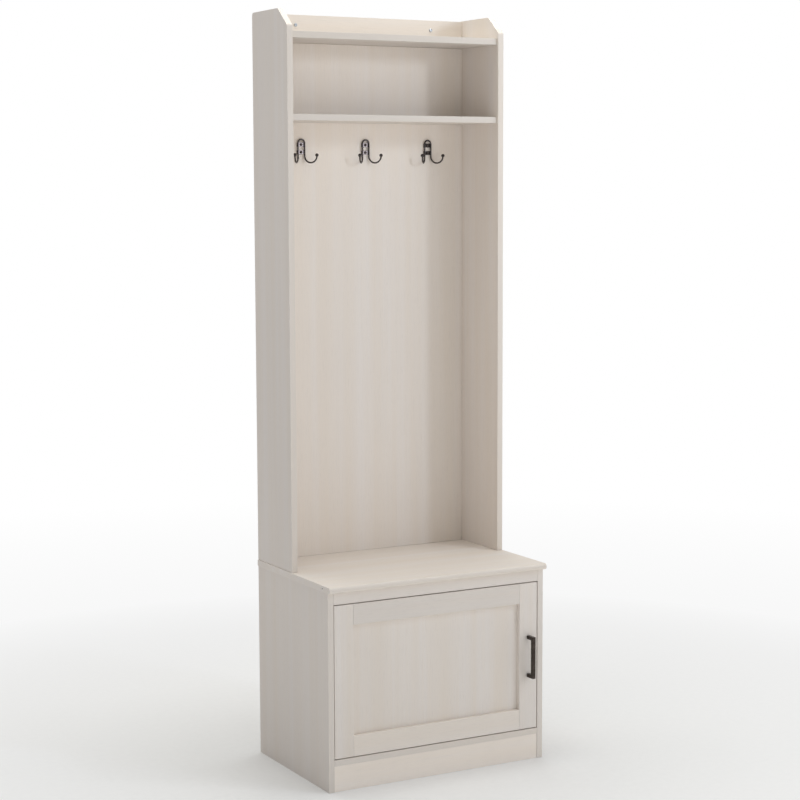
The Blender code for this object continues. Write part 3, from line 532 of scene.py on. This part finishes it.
def rods_cutter(rods, sides=ROUND_SIDES):
    """Rods from (middle, axis, radius, length), as one cutter."""
    shape = bmesh.new()
    for middle, axis, radius, length in rods:
        add_rod(shape, middle, axis, radius, length, sides)
    return mesh_of(shape, "cutter")


def grown_box(node, grow):
    low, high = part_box(node)
    return low - Vector((grow,) * 3), high + Vector((grow,) * 3)


def middle_of(node):
    low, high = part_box(node)
    return (low + high) / 2


def pin_hole_rods(side):
    """Three holes above one another at each shelf pin of this side, drilled from the inside."""
    rods = []
    inner = SIDES[side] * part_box("cabinet_floor")[1].x + SIDES[side] * FIT
    for row in ("front", "back"):
        pin = middle_of("shelf_pin_" + row + "_" + side)
        for step in (-1, 0, 1):
            middle = (inner, pin.y, pin.z + step * SHELF_HOLE_PITCH)
            rods.append((middle, (1, 0, 0), SHELF_HOLE_RADIUS, 2 * SHELF_HOLE_DEPTH))
    return rods


def seat_blank():
    """The seat's box with its front rounded top and bottom."""
    low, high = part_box("seat_board")
    shape = bmesh.new()
    add_box(shape, low, high)
    front = [edge for edge in shape.edges if all(abs(v.co.y - low.y) < 1e-6 for v in edge.verts)]
    noses = [edge for edge in front if abs(edge.verts[0].co.z - edge.verts[1].co.z) < 1e-6]
    round_off(shape, noses, SEAT_NOSE_RADIUS, 10)
    return shape


def plug_bores():
    """The bores for the plugs in the seat's ends."""
    rods = []
    for side in SIDES:
        low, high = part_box("seat_end_plug_" + side)
        rods.append(((low + high) / 2, (1, 0, 0), PLUG_BORE_RADIUS, high.x - low.x + 4 * FIT))
    return rods


def nail_places():
    """Nails along the two side edges and the top and bottom edges of the cabinet's back sheet."""
    low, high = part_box("cabinet_back")
    places = []
    for first, last, fixed, axis in (
        (low.z, high.z, low.x + NAIL_INSET, "z"),
        (low.z, high.z, high.x - NAIL_INSET, "z"),
        (low.x, high.x, low.z + 2 * NAIL_INSET, "x"),
        (low.x, high.x, high.z - 2 * NAIL_INSET, "x"),
    ):
        count = round((last - first) / NAIL_SPACING)
        for step in range(count):
            along = first + (last - first) * (step + 0.5) / count
            places.append((fixed, high.y, along) if axis == "z" else (along, high.y, fixed))
    return places


def cup_bores():
    """The hinge cups' blind bores in the back of the stile, a little deeper than the cups."""
    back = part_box("door_stile_hinge")[1].y
    rods = []
    for end in ("top", "bottom"):
        low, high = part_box("hinge_cup_" + end)
        mouth = ((low.x + high.x) / 2, back, middle_of("hinge_cup_pin_" + end).z)
        rods.append((mouth, (0, 1, 0), CUP_BORE_RADIUS, 2 * (back - low.y + FIT)))
    return rods


def make_boards():
    back_sheet = box_cutter(*grown_box("cabinet_back", FIT))
    panel = box_cutter(*grown_box("door_panel", FIT))
    for side in SIDES:
        pin_holes = rods_cutter(pin_hole_rods(side), SMALL_SIDES)
        make_board("lower_side_" + side, "cabinet", cutters=[back_sheet, pin_holes])
        make_board("upper_side_" + side, "cabinet")
    for node in ("plinth", "cabinet_floor", "front_rail", "inner_shelf", "top_shelf", "middle_shelf"):
        make_board(node, "cabinet")
    make_board("seat_board", "cabinet", cutters=[rods_cutter(plug_bores())], shape=seat_blank())
    make_board("upper_back_panel", "cabinet")
    make_board("gallery_rail", "cabinet")
    make_board("door_stile_hinge", "door", FRAME_EASE, [panel, rods_cutter(cup_bores())])
    for node in ("door_stile_pull", "door_rail_top", "door_rail_bottom"):
        make_board(node, "door", FRAME_EASE, [panel])
    make_board("door_panel", "door", SHEET_EASE, finish="sheet")
    dimples = [(place, (0, 1, 0), NAIL_DIMPLE, 2 * NAIL_SINK) for place in nail_places()]
    make_board("cabinet_back", "cabinet", SHEET_EASE, [rods_cutter(dimples, TINY_SIDES)], finish="sheet")


# Things that repeat


def points_tree():
    """Geometry nodes that set a copy of one object on each point, turned as the point says."""
    tree = bpy.data.node_groups.new("set_on_points", "GeometryNodeTree")
    face = tree.interface
    face.new_socket(name="Points", in_out="INPUT", socket_type="NodeSocketGeometry")
    face.new_socket(name="Pattern", in_out="INPUT", socket_type="NodeSocketObject")
    face.new_socket(name="Size", in_out="INPUT", socket_type="NodeSocketFloat")
    face.new_socket(name="Finish", in_out="INPUT", socket_type="NodeSocketMaterial")
    face.new_socket(name="Made", in_out="OUTPUT", socket_type="NodeSocketGeometry")
    given = add_node(tree, "NodeGroupInput")
    vector = {"data_type": "FLOAT_VECTOR"}
    turn = add_node(tree, "GeometryNodeInputNamedAttribute", vector, {"Name": "turn"})
    rotation = add_node(tree, "FunctionNodeEulerToRotation", inputs={0: turn.outputs[0]})
    pattern = add_node(tree, "GeometryNodeObjectInfo", inputs={"Object": given.outputs["Pattern"]})
    copies = add_node(
        tree,
        "GeometryNodeInstanceOnPoints",
        inputs={
            "Points": given.outputs["Points"],
            "Instance": pattern.outputs["Geometry"],
            "Rotation": rotation.outputs[0],
            "Scale": given.outputs["Size"],
        },
    )
    real = add_node(tree, "GeometryNodeRealizeInstances", inputs={"Geometry": copies.outputs[0]})
    coloured = add_node(
        tree,
        "GeometryNodeSetMaterial",
        inputs={"Geometry": real.outputs[0], "Material": given.outputs["Finish"]},
    )
    add_node(tree, "NodeGroupOutput", inputs={"Made": coloured.outputs[0]})
    return tree


POINTS_TREE = points_tree()


def set_on_points(name, places, pattern_mesh, finish, body, nodes=(), size=1.0):
    """One piece made of a copy of the pattern at each (place, turn), where turn is Euler angles."""
    mesh = bpy.data.meshes.new(name + "_points")
    mesh.from_pydata([tuple(place) for place, _ in places], [], [])
    turns = mesh.attributes.new("turn", "FLOAT_VECTOR", "POINT")
    turns.data.foreach_set("vector", [angle for _, turn in places for angle in turn])
    values = {"Pattern": None, "Size": size, "Finish": FINISHES[finish]}

    def add_tree(helper):
        pattern = bpy.data.objects.new(name + "_pattern", pattern_mesh)
        bpy.context.scene.collection.objects.link(pattern)
        values["Pattern"] = pattern
        modifier = helper.modifiers.new("copies", "NODES")
        modifier.node_group = POINTS_TREE
        for socket in POINTS_TREE.interface.items_tree:
            if socket.name in values:
                modifier[socket.identifier] = values[socket.name]
        return [pattern]

    made = modified_mesh(mesh, add_tree)
    made.name = name
    turn = made.attributes.get("turn")
    if turn:
        made.attributes.remove(turn)
    made.shade_smooth()
    made.set_sharp_from_angle(angle=radians(SHARP_ANGLE))
    place_piece(name, made, finish, body, nodes)


def recess_wing(reach_x, reach_y, head_height):
    """One wing of a cross recess, which narrows to its foot along its longer way."""
    box = bmesh.new()
    corners = add_box(box, (-reach_x, -reach_y, head_height * 0.35), (reach_x, reach_y, head_height * 1.2))
    wing = bmesh.new()
    for corner in corners:
        place = corner.co.copy()
        if place.z < head_height * 0.5:
            place.x *= RECESS_TAPER if reach_x > reach_y else 1.0
            place.y *= RECESS_TAPER if reach_y > reach_x else 1.0
        wing.verts.new(place)
    box.free()
    bmesh.ops.convex_hull(wing, input=wing.verts)
    return mesh_of(wing, "wing")


def screw_pattern(sizes, shank_length):
    """A cross-recess screw. Its head rises along +Z from the origin and its shank runs down."""
    head_radius, head_height, shank_radius = sizes
    outline = round_profile(head_radius, head_height, head_height * 0.7)
    outline += [(head_radius, 0.0), (shank_radius, 0.0), (shank_radius, -shank_length), (0.0, -shank_length)]
    mesh = mesh_of(lathe(outline, SMALL_SIDES), "screw")
    reach = head_radius * RECESS_REACH
    half = head_radius * RECESS_HALF_WIDTH
    across = recess_wing(reach, half, head_height)
    upright = recess_wing(half, reach, head_height)
    return combined_mesh(mesh, combined_mesh(across, upright, "UNION"))


FACING_FRONT = Euler((pi / 2, 0, 0))
FACING_BACK = Euler((-pi / 2, 0, 0))
FACING_RIGHT = Euler((0, pi / 2, 0))
FACING_LEFT = Euler((0, -pi / 2, 0))


def facing(direction, spin_deg):
    """Euler angles that point +Z the given way after turning the pattern about its own axis."""
    turned = direction.to_matrix() @ Matrix.Rotation(radians(spin_deg), 3, "Z")
    return tuple(turned.to_euler())


def make_screw_set(name, nodes, sizes, direction, spins, finish, body):
    """Screws in place of CAD nodes. spins is the first screw's turn in degrees and the step to the next."""
    head = sizes[1]
    low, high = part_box(nodes[0])
    under_head = low.y + head if direction is FACING_FRONT else high.y - head
    places = []
    for number, node in enumerate(nodes):
        middle = middle_of(node)
        places.append(((middle.x, under_head, middle.z), facing(direction, spins[0] + spins[1] * number)))
    set_on_points(name, places, screw_pattern(sizes, high.y - low.y - head), finish, body, nodes)


def make_screws():
    ends = ("upper", "lower")
    hook_nodes = [f"hook_screw_{hook}_{strap}" for hook in HOOKS for strap in ends]
    wall_nodes = ["wall_screw_" + side for side in SIDES]
    pull_nodes = ["pull_screw_" + end for end in ends]
    make_screw_set("hook_screws", hook_nodes, HOOK_SCREW, FACING_FRONT, (20, 37), "bronze", "cabinet")
    make_screw_set("wall_screws", wall_nodes, WALL_SCREW, FACING_FRONT, (15, 50), "zinc", "cabinet")
    make_screw_set("pull_screws", pull_nodes, PULL_SCREW, FACING_BACK, (30, 25), "zinc", "door")


def make_nails():
    """Nails of the back sheet, their round heads sunk level with it."""
    outline = round_profile(NAIL_HEAD, NAIL_SINK, NAIL_SINK * 0.6, 2) + [(NAIL_HEAD, 0.0), (0.0, 0.0)]
    pattern = mesh_of(lathe(outline, TINY_SIDES), "nail")
    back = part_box("cabinet_back")[1].y
    places = [((x, back - NAIL_SINK, z), facing(FACING_BACK, 0)) for x, _, z in nail_places()]
    set_on_points("back_sheet_nails", places, pattern, "zinc", "cabinet")


def make_shelf_pins():
    """Turned pins with a collar against the cabinet's side."""
    nodes = [f"shelf_pin_{row}_{side}" for side in SIDES for row in ("front", "back")]
    low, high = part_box(nodes[0])
    radius = (high.z - low.z) / 2
    length = high.x - low.x
    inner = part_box("cabinet_floor")[1].x
    reach = length - (abs(low.x) - inner)
    collar = radius * 1.45
    outline = round_profile(radius, reach, radius * 0.4)
    outline += [(radius, 0.0012), (collar, 0.0009), (collar, 0.0), (radius, 0.0)]
    outline += [(radius, reach - length), (0.0, reach - length)]
    pattern = mesh_of(lathe(outline, SMALL_SIDES), "shelf_pin")
    places = []
    for node in nodes:
        middle = middle_of(node)
        sign = 1 if middle.x > 0 else -1
        turn = FACING_LEFT if sign > 0 else FACING_RIGHT
        places.append(((sign * inner, middle.y, middle.z), facing(turn, 0)))
    set_on_points("shelf_pins", places, pattern, "zinc", "cabinet", nodes)


# Coat hooks


def arc(centre, radius, start_deg, end_deg):
    points = []
    for step in range(BEND_STEPS + 1):
        angle = radians(start_deg + (end_deg - start_deg) * step / BEND_STEPS)
        points.append((centre[0] + radius * cos(angle), centre[1] + radius * sin(angle)))
    return points


def hook_line():
    """The bent wire's middle line. Its origin is on the panel's face, level with the top of the loop."""
    wall_gap = STRAP_THICKNESS + WIRE_RADIUS - WELD_DEPTH
    loop_middle = -WIRE_RADIUS - LOOP_RADIUS
    bend = hypot(PRONG_SIDE, PRONG_REACH) / 2
    bend_middle = loop_middle - STRAIGHT
    leg = [(2 * bend, bend_middle + TIP_RISE)] + arc((bend, bend_middle), bend, 0, -180)
    points = []
    for across, up in leg:
        share = across / (2 * bend)
        points.append((-LOOP_RADIUS - share * PRONG_SIDE, -wall_gap - share * PRONG_REACH, up))
    other_leg = [(-x, y, z) for x, y, z in reversed(points)]
    points += [(x, -wall_gap, z) for x, z in arc((0, loop_middle), LOOP_RADIUS, 180, 0)]
    return points + other_leg


def wire_mesh(line):
    """A round wire along a line of points."""
    curve = bpy.data.curves.new("wire", "CURVE")
    curve.dimensions = "3D"
    curve.bevel_depth = WIRE_RADIUS
    curve.bevel_resolution = 4
    curve.use_fill_caps = True
    spline = curve.splines.new("POLY")
    spline.points.add(len(line) - 1)
    for point, place in zip(spline.points, line):
        point.co = (*place, 1.0)
    mesh = modified_mesh(curve, lambda helper: [])
    bpy.data.curves.remove(curve)
    return mesh


def hook_mesh():
    """A bent wire with a ball on each tip, welded to two flat straps."""
    line = hook_line()
    shape = bmesh.new()
    shape.from_mesh(wire_mesh(line))
    for tip in (line[0], line[-1]):
        bmesh.ops.create_uvsphere(
            shape, u_segments=28, v_segments=18, radius=BALL_RADIUS, matrix=Matrix.Translation(tip)
        )
    half = LOOP_RADIUS + WIRE_RADIUS
    for drop in STRAP_DROPS:
        strap = bmesh.new()
        low = (-half, -STRAP_THICKNESS, -drop - STRAP_HEIGHT / 2)
        add_box(strap, low, (half, 0.0, -drop + STRAP_HEIGHT / 2))
        ease_edges(strap, STRAP_EASE, 3)
        shape.from_mesh(mesh_of(strap, "strap"))
    bmesh.ops.recalc_face_normals(shape, faces=shape.faces)
    return mesh_of(shape, "coat_hook", 40.0)


def make_hooks():
    pattern = hook_mesh()
    for hook in HOOKS:
        node = "coat_hook_" + hook
        low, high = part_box(node)
        mesh = pattern.copy()
        mesh.transform(Matrix.Translation(((low.x + high.x) / 2, high.y, high.z)))
        mesh = even_shading(mesh)
        place_piece("wire_hook_" + hook, mesh, "gloss_bronze", "cabinet", [node])


# Door pull


def make_pull():
    """A square bar bent square at both ends, with eased edges."""
    low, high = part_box("door_pull")
    outer = [(low.y, low.z), (low.y, high.z), (high.y, high.z), (high.y, high.z - PULL_BAR)]
    inner = [(low.y + PULL_BAR, high.z - PULL_BAR), (low.y + PULL_BAR, low.z + PULL_BAR)]
    outline = outer + inner + [(high.y, low.z + PULL_BAR), (high.y, low.z)]
    shape = bmesh.new()
    face = shape.faces.new([shape.verts.new((low.x, y, z)) for y, z in outline])
    raised = bmesh.ops.extrude_face_region(shape, geom=[face])["geom"]
    moved = [item for item in raised if isinstance(item, bmesh.types.BMVert)]
    bmesh.ops.translate(shape, vec=(high.x - low.x, 0, 0), verts=moved)
    bmesh.ops.recalc_face_normals(shape, faces=shape.faces)
    ease_edges(shape, PULL_EASE, 4)
    mesh = even_shading(mesh_of(shape, "door_pull", 40.0))
    place_piece("square_bar_pull", mesh, "bronze", "door", ["door_pull"])


# Small fittings


def make_seat_plugs():
    """Ivory plugs in the seat's ends, each with a round hole that shows the board's brown core."""
    for side, sign in SIDES.items():
        node = "seat_end_plug_" + side
        low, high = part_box(node)
        radius = (high.z - low.z) / 2
        length = high.x - low.x
        rim = 0.0004
        outline = [(0.0, length * 0.3), (PLUG_HOLE_RADIUS, length * 0.3), (PLUG_HOLE_RADIUS, length - rim)]
        outline += [(PLUG_HOLE_RADIUS + rim, length), (radius - rim, length), (radius, length - rim)]
        outline += [(radius, 0.0), (0.0, 0.0)]
        shape = lathe(outline)
        for face in shape.faces:
            middle = face.calc_center_median()
            within = hypot(middle.x, middle.y) < PLUG_HOLE_RADIUS and middle.z > length * 0.2
            face.material_index = 1 if within else 0
        mesh = mesh_of(shape, node)
        start = low.x if sign > 0 else high.x
        turn = (FACING_RIGHT if sign > 0 else FACING_LEFT).to_matrix().to_4x4()
        mesh.transform(Matrix.Translation((start, (low.y + high.y) / 2, (low.z + high.z) / 2)) @ turn)
        mesh.materials.append(FINISHES["ivory"])
        mesh.materials.append(FINISHES["chipboard"])
        place_piece("ivory_plug_" + side, mesh, "ivory", "cabinet", [node])


def make_plated(node, finish, body, width=METAL_EASE):
    """The CAD node's own shape with its corner edges eased."""
    shape = bmesh.new()
    shape.from_mesh(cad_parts[node].data)
    bmesh.ops.remove_doubles(shape, verts=shape.verts, dist=1e-6)
    bmesh.ops.dissolve_limit(shape, angle_limit=radians(2), verts=shape.verts, edges=shape.edges)
    shape.normal_update()
    mesh = mesh_of(shape, node)
    mesh.materials.clear()

    def soften(helper):
        bevel = helper.modifiers.new("eased", "BEVEL")
        bevel.width = width
        bevel.segments = 2
        bevel.limit_method = "ANGLE"
        bevel.angle_limit = radians(50)
        weigh = helper.modifiers.new("shading", "WEIGHTED_NORMAL")
        weigh.keep_sharp = True

    place_piece("plated_" + node, modified_mesh(mesh, soften), finish, body, [node])


def make_hinges():
    """Hinges in bright nickel, with the screws that hold and adjust them."""
    door_places = []
    side_places = []
    for number, end in enumerate(("top", "bottom")):
        for part, body in HINGE_PARTS.items():
            make_plated(f"hinge_{part}_{end}", "nickel", body)
        cup_low, cup_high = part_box("hinge_cup_" + end)
        cup_middle = (cup_low.x + cup_high.x) / 2
        low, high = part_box("hinge_plate_" + end)
        height = middle_of("hinge_cup_pin_" + end).z
        for sign in (-1, 1):
            place = (cup_middle, cup_high.y - SCREW_SINK, height + sign * CUP_SCREW_REACH)
            door_places.append((place, facing(FACING_BACK, 12 + 31 * number * sign)))
            place = (high.x - SCREW_SINK, (low.y + high.y) / 2, height + sign * PLATE_SCREW_REACH)
            side_places.append((place, facing(FACING_RIGHT, 40 - 23 * number * sign)))
        for inset in ARM_SCREW_INSETS:
            place = (high.x + ARM_SCREW_RISE, high.y - inset, height)
            side_places.append((place, facing(FACING_RIGHT, 10 + 55 * number + 900 * inset)))
    pattern = screw_pattern(HINGE_SCREW, SHORT_SHANK)
    set_on_points("hinge_cup_screws", door_places, pattern, "nickel", "door")
    set_on_points("hinge_plate_screws", side_places, pattern, "nickel", "cabinet")


def catch_bars(low, high, half_share, inset, depth):
    """Two upright bars at the mouth of the catch's box, one in the middle of each half of its width."""
    shape = bmesh.new()
    width = high.x - low.x
    for sign in (-1, 1):
        middle = (low.x + high.x) / 2 + sign * width / 4
        half = width * half_share
        far_corner = (middle + half, low.y + depth, high.z - inset)
        add_box(shape, (middle - half, low.y, low.z + inset), far_corner)
    return shape


def make_catch():
    """A magnetic catch: a grey case with two steel pole plates at its mouth, and the strike they hold."""
    low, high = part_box("magnetic_catch")
    case = bmesh.new()
    add_box(case, (low.x, low.y + CATCH_LIP, low.z), high)
    ease_edges(case, CATCH_LIP, 3)
    slots = mesh_of(catch_bars(low, high, 0.07, 0.012, 0.004), "slots")
    mesh = even_shading(combined_mesh(mesh_of(case, "catch_case"), slots))
    place_piece("catch_case", mesh, "grey", "cabinet", ["magnetic_catch"])
    poles = catch_bars(low, high, 0.055, 0.0125, 0.0035)
    ease_edges(poles, STRIKE_EASE)
    place_piece("catch_pole_plates", mesh_of(poles, "catch_pole_plates"), "zinc", "cabinet")
    make_plated("strike_plate", "zinc", "door", STRIKE_EASE)
    screws = []
    for height in (low.z + CATCH_SCREW_INSET, high.z - CATCH_SCREW_INSET):
        screws.append(((low.x - SCREW_SINK, (low.y + high.y) / 2, height), facing(FACING_LEFT, 20)))
    set_on_points("catch_screws", screws, screw_pattern(CATCH_SCREW, SHORT_SHANK), "zinc", "cabinet")


def finish_carried_nodes():
    """The CAD nodes that stay: hinge pins and dowels, each in its own metal or wood."""
    finishes = {"hinge_cup_pin": "nickel", "hinge_arm_pin": "nickel", "seat_dowel": "beech"}
    for name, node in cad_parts.items():
        for start, finish in finishes.items():
            if name.startswith(start):
                for slot in node.material_slots:
                    slot.material = FINISHES[finish]


# Stage


def make_floor():
    shape = bmesh.new()
    bmesh.ops.create_circle(shape, cap_ends=True, segments=96, radius=FLOOR_RADIUS)
    mesh = bpy.data.meshes.new("pale_floor")
    shape.to_mesh(mesh)
    shape.free()
    mesh.materials.append(floor_paint())
    floor = bpy.data.objects.new("pale_floor", mesh)
    bpy.context.scene.collection.objects.link(floor)


def add_panel_light(name, place, aim, width, height, watts, colour):
    light = bpy.data.lights.new(name, "AREA")
    light.shape = "RECTANGLE"
    light.size = width
    light.size_y = height
    light.energy = watts
    light.color = colour
    lamp = bpy.data.objects.new(name, light)
    lamp.location = place
    lamp.rotation_mode = "QUATERNION"
    lamp.rotation_quaternion = (Vector(aim) - Vector(place)).to_track_quat("-Z", "Y")
    bpy.context.scene.collection.objects.link(lamp)


def make_lights():
    """A near and a far key, a card that the hooks mirror, three wide panels, and a dim sky seen as white."""
    for panel_light in PANEL_LIGHTS:
        add_panel_light(*panel_light)
    world = bpy.data.worlds.new("studio")
    bpy.context.scene.world = world
    world.use_nodes = True
    tree = world.node_tree
    fill = tree.nodes["Background"]
    fill.inputs["Color"].default_value = SKY_COLOUR
    fill.inputs["Strength"].default_value = SKY
    seen = add_node(tree, "ShaderNodeBackground", inputs={"Color": WHITE, "Strength": 1.0})
    to_camera = add_node(tree, "ShaderNodeLightPath").outputs["Is Camera Ray"]
    shaders = {0: to_camera, 1: fill.outputs[0], 2: seen.outputs[0]}
    mixed = add_node(tree, "ShaderNodeMixShader", inputs=shaders)
    tree.links.new(mixed.outputs[0], tree.nodes["World Output"].inputs["Surface"])


def make_camera():
    camera = bpy.data.cameras.new("camera")
    camera.lens = CAMERA_LENS
    camera.sensor_width = 36.0
    camera.clip_start = 0.1
    camera.clip_end = 100.0
    holder = bpy.data.objects.new("camera", camera)
    holder.location = CAMERA_PLACE
    turn = Euler((radians(90 + CAMERA_PITCH), 0, -radians(CAMERA_YAW))).to_matrix()
    roll = Matrix.Rotation(-radians(CAMERA_ROLL), 3, "Z")
    holder.rotation_mode = "QUATERNION"
    holder.rotation_quaternion = (turn @ roll).to_quaternion()
    bpy.context.scene.collection.objects.link(holder)
    bpy.context.scene.camera = holder


make_camera()
make_boards()
make_hooks()
make_pull()
make_screws()
make_nails()
make_shelf_pins()
make_seat_plugs()
make_hinges()
make_catch()
finish_carried_nodes()
make_floor()
make_lights()
bpy.context.scene.view_settings.view_transform = "Standard"
